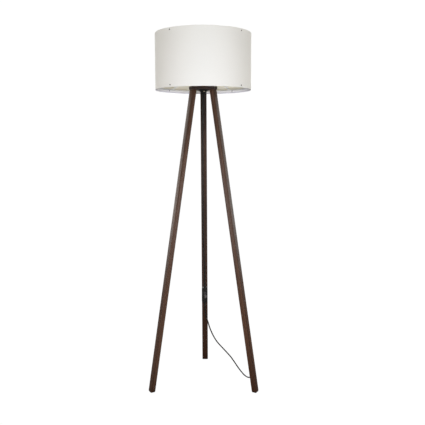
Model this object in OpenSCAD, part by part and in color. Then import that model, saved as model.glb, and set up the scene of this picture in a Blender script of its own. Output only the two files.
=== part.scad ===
// Tripod floor lamp: three walnut bars under a small triangular hub, a riveted
// drum shade on a raised four-arm spider, an E27 lampholder with a lamp bulb,
// and a mains lead with an in-line rocker switch, ending in a flat plug.
// Millimetres, +Z up. The floor is z = 0. The lamp's own axis is the vertical
// line x = 0, y = axis_y, so that the stand and shade are centred on the origin.

/* [Stand] */
// Height of the hub plate's underside, where the legs end
hub_z = 1206; // [1150:1:1260]
// Distance of a leg's centre line from the lamp axis under the hub
leg_top_r = 45; // [43:0.5:48]
// Distance of a leg's centre line from the lamp axis at the floor
foot_r = 241; // [225:1:260]
// Width of a leg across the radius
leg_w = 25; // [22:0.5:27]
// Thickness of a leg along the radius
leg_t = 19; // [16:0.5:20]
// Edge radius of a leg
leg_edge = 1.5; // [1:0.5:3]
// Thickness of the pads under the feet
pad_t = 2; // [1:0.5:4]

/* [Hub] */
// Thickness of the triangular hub plate
hub_t = 12; // [10:0.5:16]
// Distance from the lamp axis to each blunt corner face
hub_face_r = 57.5; // [56:0.5:62]
// Width of each blunt corner face
hub_face_w = 27; // [27:0.5:32]

/* [Shade] */
// Outside diameter of the drum
shade_d = 380; // [360:1:400]
// Height of the drum
shade_h = 217; // [200:1:240]
// Height of the drum's lower edge above the floor
shade_z = 1205; // [1200:1:1208]
// Thickness of the drum's sheet
sheet_t = 1.1; // [0.8:0.1:1.5]
// Turn of the spider and rivets about the lamp axis, in degrees
spider_turn = 5.5; // [0:0.5:20]
// Width of the bottom ring's flat web
web_w = 21; // [15:1:25]
// Distance of the rivets from the drum's edges
rivet_inset = 8; // [6:0.5:10]
// Diameter of a rivet's head
rivet_head_d = 5; // [4:0.5:7]

/* [Lampholder] */
// Outside diameter of the threaded skirt
skirt_d = 39; // [38:0.5:40]
// Outside diameter of the shade nut
nut_d = 56; // [54:1:60]
// Diameter of the bulb
bulb_d = 60; // [55:1:65]

/* [Switch] */
// Length of the in-line switch
sw_l = 66; // [60:1:70]
// Width of the in-line switch
sw_w = 21; // [20:0.5:24]
// Thickness of the in-line switch
sw_t = 16; // [15:0.5:18]
// Turn of the switch about the cord, in degrees
sw_turn = 22; // [0:1:40]
// Tilt of the rocker at rest, in degrees
rocker_tilt = 7; // [5:0.5:8]

/* [Cord] */
// Diameter of the mains lead
cord_d = 5; // [4.5:0.1:5.5]

/* [Hidden] */
$fn = 64;

shade_r = shade_d / 2;
leg_slope = (foot_r - leg_top_r) / hub_z;
leg_tilt = atan(leg_slope);
leg_half = leg_t / 2 / cos(leg_tilt);
// The rear foot and the drum's front are the ends of the object along Y.
rear_reach = foot_r - leg_slope * pad_t + leg_half;
axis_y = (shade_r - rear_reach) / 2;

hub_top = hub_z + hub_t;
washer_t = 1.5;
nut_t = 4;
base_z = hub_top + washer_t + nut_t;
skirt_z = base_z + 16.5;
seat_z = skirt_z + 18.5;
spider_z = seat_z + 0.2;
spider_t = 2.5;
shade_nut_z = spider_z + spider_t + 0.4;
skirt_top = skirt_z + 50;
skirt_r = skirt_d / 2;
cap_z = skirt_z + 14;
ring_r = shade_r - sheet_t - 0.2;
rivet_lo = shade_z + rivet_inset;
web_z = rivet_lo + 2.2;
web_t = 1.5;
rivet_hi = shade_z + shade_h - rivet_inset;
top_web_z = shade_z + shade_h - 12.5;

sw_z = 368.5;
sw_x = 3.5;
boot_l = 18;
pivot_y = -6;

// Hank: two turns and a run on its long edge, pinched by its tie, in line with the right leg
hank_x = 209;
hank_t = 17;
hank_mid = 74;
hank_reach = 42.4;
hank_w = 30 + cord_d;
hank_pinch = 10.4;
hank_lift = 1;

// Route of the lead from the gland to the switch, from the lamp axis
upper_route = [[0, 0, 1170], [0, 0, 1160], [0, 0, 1140], [-2, 0, 1060], [-2, 0, 960], [-2, 0, 860],
               [-2, 0, 760], [-2, 0, 660], [0, 0, 560], [3, 0, 470], [3.5, 0, 440], [3.5, 0, 430], [3.5, 0, 419.5]];
// Route of the lead from the switch to the hank
lower_route = [[3.5, 0, 317.5], [4.5, 0, 300], [8, 0, 280], [16, 0, 254], [29, 0, 214], [52, 0, 170],
               [89, 0, 127], [110, 0, 103], [127, 0, 79], [142, 0, 56], [157, 1, 35], [171, 3.5, 18],
               [183, 7, 8.2], [192, 11.5, 4.6], [199, 19, 3.7], [202, 25, 3.6]];
// Route of the lead from the hank to the plug
tail_route = [[214.7, 128, 5], [214.2, 134, 7], [212.8, 145, 11.6], [210.4, 154, 15.6], [209.2, 160, 17.3], [209, 165, 17.5]];

function unit(v) = v / norm(v);
function crom(a, b, c, d, t) =
    0.5 * (2 * b + (c - a) * t + (2 * a - 5 * b + 4 * c - d) * t * t + (3 * b - a - 3 * c + d) * t * t * t);
function at(p, i) = p[max(0, min(len(p) - 1, i))];
function smooth(p, step) = concat(
    [for (i = [0:len(p) - 2]) let (n = ceil(norm(p[i + 1] - p[i]) / step))
        for (k = [0:n - 1]) crom(at(p, i - 1), p[i], p[i + 1], at(p, i + 2), k / n)],
    [p[len(p) - 1]]);
function tangent(p, i) = unit(at(p, i + 1) - at(p, i - 1));
function ring(c, t, ref, r, n) = let (u = unit(cross(t, ref)), v = cross(t, u))
    [for (k = [0:n - 1]) c + r * cos(360 * k / n) * u + r * sin(360 * k / n) * v];
function arc(cx, cy, r, a0, a1, n) = [for (k = [0:n]) [cx + r * cos(a0 + (a1 - a0) * k / n), cy + r * sin(a0 + (a1 - a0) * k / n)]];

module on_axis() { translate([0, axis_y, 0]) children(); }

// A round tube swept along a route
module tube(route, ref, r, n, step) {
    p = smooth(route, step);
    m = len(p);
    pts = [for (i = [0:m - 1]) each ring(p[i], tangent(p, i), ref, r, n)];
    faces = concat(
        [[for (k = [0:n - 1]) k]],
        [for (i = [0:m - 2]) for (k = [0:n - 1])
            [i * n + k, (i + 1) * n + k, (i + 1) * n + (k + 1) % n, i * n + (k + 1) % n]],
        [[for (k = [n - 1:-1:0]) (m - 1) * n + k]]);
    polyhedron(points = pts, faces = faces, convexity = 6);
}

// A rectangle with rounded corners, centred
module rounded(w, h, r) {
    square([w - 2 * r, h], center = true);
    square([w, h - 2 * r], center = true);
    for (x = [-1, 1]) for (y = [-1, 1]) translate([x * (w / 2 - r), y * (h / 2 - r)]) circle(r);
}

module bored(r_out, r_in, z0, h) {
    translate([0, 0, z0]) difference() {
        cylinder(r = r_out, h = h);
        translate([0, 0, -1]) cylinder(r = r_in, h = h + 2);
    }
}

// ---- Stand ----

module at_leg(turn) { rotate([0, 0, turn]) children(); }

module leg_bar(turn) {
    on_axis() at_leg(turn) difference() {
        intersection() {
            translate([foot_r, 0, 0]) rotate([0, -leg_tilt, 0])
                translate([0, 0, -20]) linear_extrude(hub_z / cos(leg_tilt) + 60) rounded(leg_t, leg_w, leg_edge);
            translate([-50, -50, pad_t]) cube([400, 100, hub_z - pad_t]);
        }
        for (s = [-1, 1]) translate([leg_top_r + 2.5, s * 6, hub_z - 38]) cylinder(r = 1.7, h = 60, $fn = 32);
    }
}

module leg_front_left() { color([0.32, 0.24, 0.20]) leg_bar(210); }
module leg_front_right() { color([0.32, 0.24, 0.20]) leg_bar(330); }
module leg_rear() { color([0.26, 0.19, 0.16]) leg_bar(90); }

module hub_outline() {
    polygon([for (k = [0:2]) let (a = 90 + 120 * k) for (s = [-1, 1])
        [hub_face_r * cos(a) - s * hub_face_w / 2 * sin(a), hub_face_r * sin(a) + s * hub_face_w / 2 * cos(a)]]);
}

module hub_plate() {
    color([0.24, 0.17, 0.15]) on_axis() difference() {
        translate([0, 0, hub_z]) linear_extrude(hub_t) hub_outline();
        translate([0, 0, hub_z - 1]) cylinder(r = 5.1, h = hub_t + 2);
        for (t = [90, 210, 330]) at_leg(t) for (s = [-1, 1]) translate([leg_top_r + 2.5, s * 6, hub_z - 1]) {
            cylinder(r = 2.4, h = hub_t + 2, $fn = 32);
            translate([0, 0, hub_t - 2.2]) cylinder(r = 4.4, h = 10, $fn = 32);
        }
    }
}

// Two wood screws down through the hub into each leg's end
module leg_screws() {
    color([0.62, 0.62, 0.60]) on_axis() for (t = [90, 210, 330]) at_leg(t) for (s = [-1, 1])
        translate([leg_top_r + 2.5, s * 6, 0]) difference() {
            union() {
                translate([0, 0, hub_z - 36]) cylinder(r = 1.7, h = 36 + hub_t - 3, $fn = 32);
                translate([0, 0, hub_top - 3.2]) cylinder(r = 2.3, h = 1, $fn = 32);
                translate([0, 0, hub_top - 2.2]) cylinder(r = 4.2, h = 1.9, $fn = 32);
            }
            translate([-2.4, -0.5, hub_top - 1.2]) cube([4.8, 1, 3]);
            translate([-0.5, -2.4, hub_top - 1.2]) cube([1, 4.8, 3]);
        }
}

module foot_pads() {
    color([0.12, 0.11, 0.10]) on_axis() for (t = [90, 210, 330]) at_leg(t)
        translate([foot_r - leg_slope * pad_t, 0, 0]) linear_extrude(pad_t) rounded(leg_t - 1, leg_w - 1.5, 2);
}

// ---- Gland under the hub ----

// Flared black gland, screwed on the nipple under the hub
module cable_gland() {
    color([0.07, 0.07, 0.08]) on_axis() difference() {
        translate([0, 0, hub_z]) rotate_extrude() polygon([[0, 0], [20, 0], [20, -1.6], [17.2, -2.6], [10.4, -10.4],
            [10.4, -12], [0, -12]]);
        translate([0, 0, hub_z - 8]) cylinder(r = 5, h = 20);
        translate([0, 0, hub_z - 14]) cylinder(r = 2.6, h = 20);
        translate([0, 0, hub_z - 7.2]) rotate([0, 0, 14]) rotate([90, 0, 0]) cylinder(r = 1.5, h = 40, $fn = 32);
    }
}

// Tapered strain relief that the lead leaves by
module gland_strain_relief() {
    color([0.06, 0.06, 0.06]) on_axis() translate([0, 0, 1170]) rotate_extrude()
        polygon([[0, 0], [3.2, 0], [3.6, 1.2], [4.4, 10], [6.2, 18], [6.8, hub_z - 12 - 1170], [0, hub_z - 12 - 1170]]);
}

module gland_screw() {
    color([0.75, 0.75, 0.73]) on_axis() translate([0, 0, hub_z - 7.2]) rotate([0, 0, 14]) rotate([90, 0, 0]) {
        difference() {
            union() {
                translate([0, 0, 7]) cylinder(r = 1.45, h = 9, $fn = 32);
                translate([0, 0, 15.6]) cylinder(r = 2.6, h = 1.6, $fn = 32);
            }
            translate([-2, -0.35, 16.6]) cube([4, 0.7, 2]);
        }
    }
}

// ---- Hardware and lampholder above the hub ----

module threaded_nipple() { color([0.72, 0.70, 0.66]) on_axis() bored(4.95, 3.4, hub_z - 8, hub_t + 8 + washer_t + nut_t + 8); }

module nipple_washer() { color([0.70, 0.70, 0.68]) on_axis() bored(10.5, 5.1, hub_top, washer_t); }

module nipple_nut() {
    color([0.66, 0.65, 0.62]) on_axis() translate([0, 0, hub_top + washer_t]) difference() {
        cylinder(r = 8.7, h = nut_t, $fn = 6);
        translate([0, 0, -1]) cylinder(r = 5, h = nut_t + 2);
    }
}

module lampholder_base() {
    color([0.93, 0.93, 0.91]) on_axis() translate([0, 0, base_z]) difference() {
        rotate_extrude() polygon(concat([[5, 0], [12, 0]], arc(12, 8, 8, -90, 0, 10), [[20, 16.5], [17.2, 16.5]],
            arc(11.2, 8.5, 6, 0, -90, 8), [[5, 2.5]]));
        for (a = [0, 90, 180, 270]) rotate([0, 0, a]) translate([16, -1, 12.5]) cube([6, 2, 6]);
    }
}

module lampholder_skirt() {
    color([0.94, 0.94, 0.92]) on_axis() translate([0, 0, skirt_z]) difference() {
        union() {
            cylinder(r = skirt_r, h = 50);
            translate([0, 0, 16]) cylinder(r = 24.5, h = 2.5);
        }
        translate([0, 0, -1]) cylinder(r = 17.2, h = 60);
    }
}

// White core that carries the shell, the contact and the terminals
module lampholder_core() {
    color([0.90, 0.89, 0.86]) on_axis() translate([0, 0, skirt_z]) difference() {
        union() {
            translate([0, 0, -1]) cylinder(r = 16.8, h = 10);
            translate([0, 0, 9]) cylinder(r = 15, h = 2);
        }
        for (s = [-1, 1]) translate([s * 8.5, 0, -2]) cylinder(r = 1.6, h = 7, $fn = 32);
    }
}

module screw_shell() {
    color([0.80, 0.64, 0.34]) on_axis() translate([0, 0, skirt_z + 11]) difference() {
        union() {
            cylinder(r = 14.4, h = 26);
            for (k = [0:5]) translate([0, 0, 3 + k * 3.6]) cylinder(r = 14.9, h = 1.6);
        }
        translate([0, 0, 0.5]) cylinder(r = 13.8, h = 40);
    }
}

module centre_contact() {
    color([0.82, 0.66, 0.36]) on_axis() translate([0, 0, skirt_z + 11.5]) {
        translate([-2.5, -6, 0]) cube([5, 12, 0.5]);
        cylinder(r = 2.2, h = 1.4, $fn = 32);
    }
}

// Two insulated leads from the nipple to the core's terminals
module holder_leads() {
    on_axis() for (s = [-1, 1]) color(s > 0 ? [0.35, 0.22, 0.12] : [0.12, 0.25, 0.55]) {
        tube([[s * 1.6, 0, base_z + 8.2], [s * 1.8, 0, base_z + 10], [s * 4.5, 0, base_z + 13],
              [s * 8.2, 0, base_z + 16], [s * 8.5, 0, base_z + 19.8]], [0, 1, 0], 1.3, 10, 2.2);
    }
}

module shade_nut() {
    color([0.94, 0.94, 0.92]) on_axis() translate([0, 0, shade_nut_z]) difference() {
        union() {
            cylinder(r = nut_d / 2, h = 6.5);
            translate([0, 0, 6.5]) cylinder(r = skirt_r + 3, h = 2.5);
        }
        translate([0, 0, -1]) cylinder(r = skirt_r + 0.1, h = 12);
        for (k = [0:17]) rotate([0, 0, k * 20]) translate([nut_d / 2 + 0.8, 0, -1]) cylinder(r = 2, h = 12, $fn = 24);
    }
}

// ---- Shade ----

module at_arm(k) { rotate([0, 0, 45 + spider_turn + 90 * k]) children(); }

// Four arms, spot-welded on the bottom ring, that rise to a centre ring on the lampholder
module shade_spider() {
    arm_in = 24;
    bend_r = 72;
    ring_in = ring_r - web_w;
    lap_z = web_z + web_t;
    color([0.95, 0.95, 0.94]) on_axis() difference() {
        union() {
            bored(27.5, skirt_r + 0.5, spider_z, spider_t);
            for (k = [0:3]) at_arm(k) translate([0, 3, 0]) rotate([90, 0, 0]) linear_extrude(6)
                polygon([[arm_in, spider_z], [bend_r, spider_z], [ring_in - 2, lap_z], [ring_in + 12, lap_z],
                    [ring_in + 12, lap_z + spider_t], [ring_in - 1, lap_z + spider_t],
                    [bend_r + 1, spider_z + spider_t], [arm_in, spider_z + spider_t]]);
        }
        translate([0, 0, spider_z - 5]) cylinder(r = skirt_r + 0.5, h = 20);
    }
}

// Angle ring at the foot of the drum
module shade_bottom_ring() {
    color([0.95, 0.95, 0.94]) on_axis() difference() {
        union() {
            bored(ring_r, ring_r - web_w, web_z, web_t);
            bored(ring_r, ring_r - 1.5, web_z - 6, 6 + web_t);
        }
        for (k = [0:3]) at_arm(k) translate([0, 0, rivet_lo]) rotate([0, 90, 0]) cylinder(r = 1.25, h = 240, $fn = 32);
    }
}

module shade_top_ring() {
    color([0.95, 0.95, 0.94]) on_axis() difference() {
        union() {
            bored(ring_r, ring_r - 14, top_web_z, web_t);
            bored(ring_r, ring_r - 1.5, top_web_z, 8);
        }
        for (k = [0:3]) at_arm(k) translate([0, 0, rivet_hi]) rotate([0, 90, 0]) cylinder(r = 1.25, h = 240, $fn = 32);
    }
}

module shade_drum() {
    color([0.90, 0.90, 0.88]) on_axis() difference() {
        translate([0, 0, shade_z]) cylinder(r = shade_r, h = shade_h, $fn = 180);
        translate([0, 0, shade_z - 1]) cylinder(r = shade_r - sheet_t, h = shade_h + 2, $fn = 180);
        for (z = [rivet_lo, rivet_hi]) for (k = [0:3]) at_arm(k) translate([0, 0, z])
            rotate([0, 90, 0]) translate([0, 0, 150]) cylinder(r = 1.25, h = 60, $fn = 32);
    }
}

// Glued strip behind the sheet's butt joint
module shade_seam_strip() {
    color([0.88, 0.88, 0.85]) on_axis() rotate([0, 0, 90 + spider_turn]) intersection() {
        bored(shade_r - sheet_t - 0.02, shade_r - sheet_t - 0.8, web_z + web_t + 1, top_web_z - web_z - web_t - 2);
        translate([150, -8, 1100]) cube([60, 16, 400]);
    }
}

module rivet() {
    rotate([0, 90, 0]) {
        translate([0, 0, ring_r - 2.8]) cylinder(r = 2.1, h = 1.15, $fn = 32);
        translate([0, 0, ring_r - 1.7]) cylinder(r = 1.2, h = shade_r - ring_r + 1.75, $fn = 32);
        translate([0, 0, shade_r]) rotate_extrude() polygon(concat([[0, 0], [rivet_head_d / 2, 0]],
            arc(rivet_head_d / 2 - 0.9, 0.3, 0.9, 0, 90, 5), [[0, 1.35]]));
    }
}

module shade_rivets_bottom() { color([0.30, 0.29, 0.28]) on_axis() for (k = [0:3]) at_arm(k) translate([0, 0, rivet_lo]) rivet(); }
module shade_rivets_top() { color([0.30, 0.29, 0.28]) on_axis() for (k = [0:3]) at_arm(k) translate([0, 0, rivet_hi]) rivet(); }

// ---- Bulb ----

module bulb_globe() {
    br = bulb_d / 2;
    gz = cap_z + 26;
    cz = gz + 52;
    color([0.97, 0.97, 0.95, 0.9]) on_axis() rotate_extrude(convexity = 4)
        polygon(concat([[0, gz - 1], [13.6, gz - 1], [14.4, gz + 3], [15.6, gz + 12], [19.5, gz + 22], [24.8, gz + 32]],
            arc(0, cz, br, -28, 90, 24)));
}

module bulb_cap() {
    color([0.78, 0.77, 0.74]) on_axis() translate([0, 0, cap_z]) {
        translate([0, 0, 2]) cylinder(r = 12.7, h = 22.9);
        for (k = [0:4]) translate([0, 0, 4 + k * 3.6]) cylinder(r = 13.3, h = 1.7);
        translate([0, 0, -0.9]) cylinder(r = 4.6, h = 0.95);
    }
}

module bulb_insulator() {
    color([0.10, 0.10, 0.11]) on_axis() translate([0, 0, cap_z]) rotate_extrude() polygon([[0, 0.05], [5.5, 0.05], [12, 2], [0, 2]]);
}

// ---- In-line switch, built along Z with its face towards -Y ----

module at_switch() { translate([sw_x, axis_y, sw_z]) rotate([0, 0, sw_turn]) children(); }
module sw_plan(inset) { rounded(sw_w - 2 * inset, sw_l - 2 * inset, 6 - inset); }
module sw_slab(y0, y1, inset) { translate([0, y1, 0]) rotate([90, 0, 0]) linear_extrude(y1 - y0) sw_plan(inset); }

module switch_cover_front() {
    color([0.05, 0.05, 0.055]) at_switch() difference() {
        union() {
            difference() {
                union() {
                    sw_slab(-sw_t / 2, -0.05, 1);
                    sw_slab(-sw_t / 2 + 1.5, -0.05, 0);
                }
                sw_slab(-sw_t / 2 + 2, 1, 2);
            }
            for (s = [-1, 1]) translate([s * 7.3 - 0.9, -sw_t / 2 + 1, -4]) cube([1.8, 5, 8]);
        }
        translate([-6.3, -20, -15.4]) cube([12.6, 20, 30.8]);
        translate([-10, pivot_y, 0]) rotate([0, 90, 0]) cylinder(r = 1.22, h = 20, $fn = 32);
        for (s = [-1, 1]) translate([0, 0, s * sw_l / 2]) cylinder(r = 3.3, h = 12, center = true, $fn = 32);
        for (s = [-1, 1]) translate([s * 5.2, 2, s * 24]) rotate([90, 0, 0]) cylinder(r = 1.1, h = 7.5, $fn = 32);
    }
}

module switch_cover_back() {
    color([0.05, 0.05, 0.055]) at_switch() difference() {
        union() {
            difference() {
                union() {
                    sw_slab(0.05, sw_t / 2, 1);
                    sw_slab(0.05, sw_t / 2 - 1.5, 0);
                }
                sw_slab(-1, sw_t / 2 - 2, 2);
            }
            for (s = [-1, 1]) translate([s * 5.2, sw_t / 2 - 1, s * 24]) rotate([90, 0, 0]) cylinder(r = 2.6, h = 6.9, $fn = 32);
        }
        for (s = [-1, 1]) translate([0, 0, s * sw_l / 2]) cylinder(r = 3.3, h = 12, center = true, $fn = 32);
        for (s = [-1, 1]) translate([s * 5.2, sw_t / 2 + 1, s * 24]) rotate([90, 0, 0]) {
            cylinder(r = 2.1, h = 2.6, $fn = 32);
            cylinder(r = 1.15, h = 12, $fn = 32);
        }
    }
}

module switch_rocker() {
    color([0.09, 0.09, 0.10]) at_switch() translate([0, pivot_y, 0]) rotate([-rocker_tilt, 0, 0]) difference() {
        translate([-6, 0, 0]) rotate([90, 0, 90]) linear_extrude(12)
            polygon([[-2.8, 0], [-3.2, 7], [-4.3, 13.2], [-3.6, 14.6], [-2.4, 14.8], [0.5, 14.2], [2, 10], [2.2, 4],
                     [2.2, -4], [2, -10], [0.5, -14.2], [-2.4, -14.8], [-3.6, -14.6], [-4.3, -13.2], [-3.2, -7]]);
        translate([-10, 0, 0]) rotate([0, 90, 0]) cylinder(r = 1.25, h = 20, $fn = 32);
    }
}

module rocker_axle() {
    color([0.74, 0.73, 0.70]) at_switch() translate([-8.1, pivot_y, 0]) rotate([0, 90, 0]) cylinder(r = 1.2, h = 16.2, $fn = 32);
}

// Bowed contact leaf under the rocker
module switch_spring() {
    color([0.82, 0.66, 0.36]) at_switch() {
        translate([-2.5, -1.9, -17]) cube([5, 0.4, 34]);
        for (s = [-1, 1]) translate([-2.5, -1.9, s * 17 - 0.3]) cube([5, 3.4, 0.6]);
    }
}

module switch_terminals() {
    color([0.80, 0.64, 0.34]) at_switch() for (s = [-1, 1]) difference() {
        translate([-2.4, -1.8, s * 21 - 3]) cube([4.8, 6, 6]);
        translate([0, 0.2, s * 21 - 4]) cylinder(r = 1.3, h = 8, $fn = 32);
    }
}

module switch_screws() {
    color([0.68, 0.68, 0.66]) at_switch() for (s = [-1, 1]) translate([s * 5.2, sw_t / 2 - 0.2, s * 24]) rotate([90, 0, 0])
        difference() {
            union() {
                cylinder(r = 2, h = 1.4, $fn = 32);
                cylinder(r = 1.05, h = 11.5, $fn = 32);
            }
            translate([-1.5, -0.3, -1]) cube([3, 0.6, 1.7]);
            translate([-0.3, -1.5, -1]) cube([0.6, 3, 1.7]);
        }
}

// Tapered strain relief at each end of the switch
module switch_boots() {
    color([0.05, 0.05, 0.05]) at_switch() for (s = [0, 1]) mirror([0, 0, s]) translate([0, 0, sw_l / 2])
        rotate_extrude() polygon([[0, -6], [3.2, -6], [3.2, 0.05], [4.3, 0.05], [4.1, 4], [3.2, boot_l - 1], [2.9, boot_l], [0, boot_l]]);
}

// ---- Mains lead ----

module cord_upper() { color([0.05, 0.05, 0.05]) on_axis() tube(upper_route, [0, 1, 0], cord_d / 2, 10, 15); }
module cord_lower() { color([0.05, 0.05, 0.05]) on_axis() tube(lower_route, [0, 1, 0], cord_d / 2, 10, 15); }
module cord_tail() { color([0.05, 0.05, 0.05]) on_axis() tube(tail_route, [0, 0, 1], cord_d / 2, 10, 10); }

// Outer shape of the folded hank
module cord_hank() {
    r = hank_w / 2;
    a = 40;
    color([0.06, 0.06, 0.06]) on_axis() translate([hank_x - hank_t / 2, hank_mid, hank_lift]) rotate([90, 0, 90]) linear_extrude(hank_t) {
        for (s = [-1, 1]) translate([s * hank_reach, r]) circle(r);
        polygon([[-hank_reach, 0], [hank_reach, 0], [hank_reach - r * sin(a), r + r * cos(a)], [12.5, 15.5], [5.2, hank_pinch],
                 [-5.2, hank_pinch], [-12.5, 15.5], [-hank_reach + r * sin(a), r + r * cos(a)]]);
    }
}

// Strap closed round the hank's middle
module hank_tie() {
    color([0.10, 0.10, 0.11]) on_axis() translate([hank_x, hank_mid + 5, 0]) rotate([90, 0, 0]) linear_extrude(10) difference() {
        translate([-hank_t / 2 - 1, 0]) square([hank_t + 2, hank_pinch + 2]);
        translate([-hank_t / 2 - 0.02, hank_lift - 0.02]) square([hank_t + 0.04, hank_pinch + 0.04]);
    }
}

// The plug lies on its edge, its pins one above the other
module at_plug() { translate([hank_x, axis_y + 165, 17.5]) rotate([-90, 0, 0]) rotate([0, 0, 90]) children(); }

module plug_boot() {
    color([0.06, 0.06, 0.06]) at_plug() rotate_extrude()
        polygon([[0, 0], [3, 0], [3.4, 1], [4.6, 23], [4.8, 25], [0, 25]]);
}

// Flat six-sided two-pin plug
module plug_body() {
    color([0.06, 0.06, 0.065]) at_plug() difference() {
        translate([0, 7, 25]) rotate([90, 0, 0]) linear_extrude(13.6)
            polygon([[-8, 0], [8, 0], [17, 13], [17.5, 16], [17.5, 32], [16, 35], [-16, 35], [-17.5, 32], [-17.5, 16], [-17, 13]]);
        for (s = [-1, 1]) translate([s * 9, 0, 56]) cylinder(r = 1.7, h = 10, $fn = 32);
    }
}

module plug_pins() {
    color([0.80, 0.79, 0.75]) at_plug() for (s = [-1, 1]) translate([s * 9, 0, 60]) rotate_extrude()
        polygon([[0, -4], [1.7, -4], [1.7, 0], [1.7, 9], [2, 9.2], [2, 17.6], [1.4, 18.6], [0, 19]]);
}

hub_plate();
leg_front_left();
leg_front_right();
leg_rear();
leg_screws();
foot_pads();
cable_gland();
gland_strain_relief();
gland_screw();
threaded_nipple();
nipple_washer();
nipple_nut();
lampholder_base();
lampholder_skirt();
lampholder_core();
screw_shell();
centre_contact();
holder_leads();
shade_nut();
shade_spider();
shade_bottom_ring();
shade_top_ring();
shade_drum();
shade_seam_strip();
shade_rivets_bottom();
shade_rivets_top();
bulb_globe();
bulb_cap();
bulb_insulator();
switch_cover_front();
switch_cover_back();
switch_rocker();
rocker_axle();
switch_spring();
switch_terminals();
switch_screws();
switch_boots();
cord_upper();
cord_lower();
cord_hank();
cord_tail();
hank_tie();
plug_boot();
plug_body();
plug_pins();
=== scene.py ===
"""Tripod floor lamp: the looks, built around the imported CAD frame."""
import math

import bpy
import bmesh
import numpy as np
from mathutils import Matrix, Vector


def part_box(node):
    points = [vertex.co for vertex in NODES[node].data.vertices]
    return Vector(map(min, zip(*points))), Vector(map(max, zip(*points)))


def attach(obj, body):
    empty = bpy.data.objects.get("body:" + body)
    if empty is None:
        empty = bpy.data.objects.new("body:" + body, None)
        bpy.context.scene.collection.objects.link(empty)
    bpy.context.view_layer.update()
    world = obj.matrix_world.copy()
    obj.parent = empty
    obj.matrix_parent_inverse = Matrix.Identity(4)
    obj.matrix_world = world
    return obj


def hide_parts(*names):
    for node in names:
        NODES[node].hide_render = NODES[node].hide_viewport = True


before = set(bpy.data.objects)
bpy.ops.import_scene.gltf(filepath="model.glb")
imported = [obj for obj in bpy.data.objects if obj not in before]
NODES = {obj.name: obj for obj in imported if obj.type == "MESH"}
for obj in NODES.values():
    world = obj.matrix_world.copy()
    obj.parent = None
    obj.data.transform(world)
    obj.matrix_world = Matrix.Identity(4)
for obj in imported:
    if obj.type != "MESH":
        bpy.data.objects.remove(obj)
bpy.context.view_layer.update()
MM = 0.001
PI = math.pi

# ---------------------------------------------------------------- frame facts
_lo, _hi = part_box("shade_drum")
AX, AY = 0.0, (_lo.y + _hi.y) / 2  # the lamp's own axis
SHADE_Z0, SHADE_Z1 = _lo.z, _hi.z
SHADE_R = round((_hi.x - _lo.x) / 2, 4)
HUB_Z0, HUB_Z1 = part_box("hub_plate")[0].z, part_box("hub_plate")[1].z
PAD_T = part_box("foot_pads")[1].z
FOOT_R, LEG_TOP_R = 0.241, 0.045
LEG_W, LEG_T = 0.025, 0.019
SPIDER_TURN = math.radians(5.5)
ARMS = [math.radians(45) + SPIDER_TURN + k * PI / 2 for k in range(4)]

# ---------------------------------------------------------------- camera
FOCAL_PX, FRAME_PX = 583.5, 425.0
cam_data = bpy.data.cameras.new("camera")
cam_data.sensor_fit = "HORIZONTAL"
cam_data.sensor_width = 36.0
cam_data.lens = 36.0 * FOCAL_PX / FRAME_PX
cam_data.clip_start, cam_data.clip_end = 0.05, 60.0
cam = bpy.data.objects.new("camera", cam_data)
bpy.context.scene.collection.objects.link(cam)
yaw, pitch, roll = -0.00618, 0.12215, -0.00131
fwd0 = Vector((math.sin(yaw), math.cos(yaw), 0))
right0 = Vector((math.cos(yaw), -math.sin(yaw), 0))
up0 = Vector((0, 0, 1))
fwd = fwd0 * math.cos(pitch) - up0 * math.sin(pitch)
up1 = up0 * math.cos(pitch) + fwd0 * math.sin(pitch)
right = right0 * math.cos(roll) + up1 * math.sin(roll)
up = up1 * math.cos(roll) - right0 * math.sin(roll)
rot = Matrix((right, up, -fwd)).transposed().to_4x4()
cam.matrix_world = Matrix.Translation((AX + 0.05105, AY - 2.3702, 1.00425)) @ rot
bpy.context.scene.camera = cam


# ---------------------------------------------------------------- mesh helpers
def link(name, me):
    o = bpy.data.objects.new(name, me)
    bpy.context.scene.collection.objects.link(o)
    return o


def finish_mesh(me, angle=32.0):
    """Outward normals, smooth faces, edges sharper than the angle kept sharp."""
    bm = bmesh.new()
    bm.from_mesh(me)
    bmesh.ops.remove_doubles(bm, verts=bm.verts, dist=1e-7)
    bmesh.ops.dissolve_degenerate(bm, edges=bm.edges, dist=1e-8)
    bmesh.ops.recalc_face_normals(bm, faces=bm.faces)
    lim = math.radians(angle)
    for f in bm.faces:
        f.smooth = True
    for e in bm.edges:
        e.smooth = not (len(e.link_faces) == 2 and e.calc_face_angle(0.0) > lim)
    bm.to_mesh(me)
    bm.free()
    me.update()


def obj_from(name, verts, faces, angle=32.0, mats=None, face_mats=None):
    me = bpy.data.meshes.new(name)
    me.from_pydata([tuple(v) for v in verts], [], faces)
    me.validate()
    if face_mats is not None:
        for p, m in zip(me.polygons, face_mats):
            p.material_index = m
    finish_mesh(me, angle)
    o = link(name, me)
    for m in mats or []:
        me.materials.append(m)
    return o


def apply_mods(o, angle=None):
    bpy.context.view_layer.update()
    dg = bpy.context.evaluated_depsgraph_get()
    me = bpy.data.meshes.new_from_object(o.evaluated_get(dg))
    old = o.data
    o.modifiers.clear()
    o.data = me
    bpy.data.meshes.remove(old)
    if angle is not None:
        finish_mesh(me, angle)
    return o


def cut(o, *cutters, angle=32.0, op="DIFFERENCE"):
    for c in cutters:
        m = o.modifiers.new("cut", "BOOLEAN")
        m.object = c
        m.operation = op
        m.solver = "EXACT"
    apply_mods(o, angle)
    for c in cutters:
        me = c.data
        bpy.data.objects.remove(c)
        bpy.data.meshes.remove(me)
    return o


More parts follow.
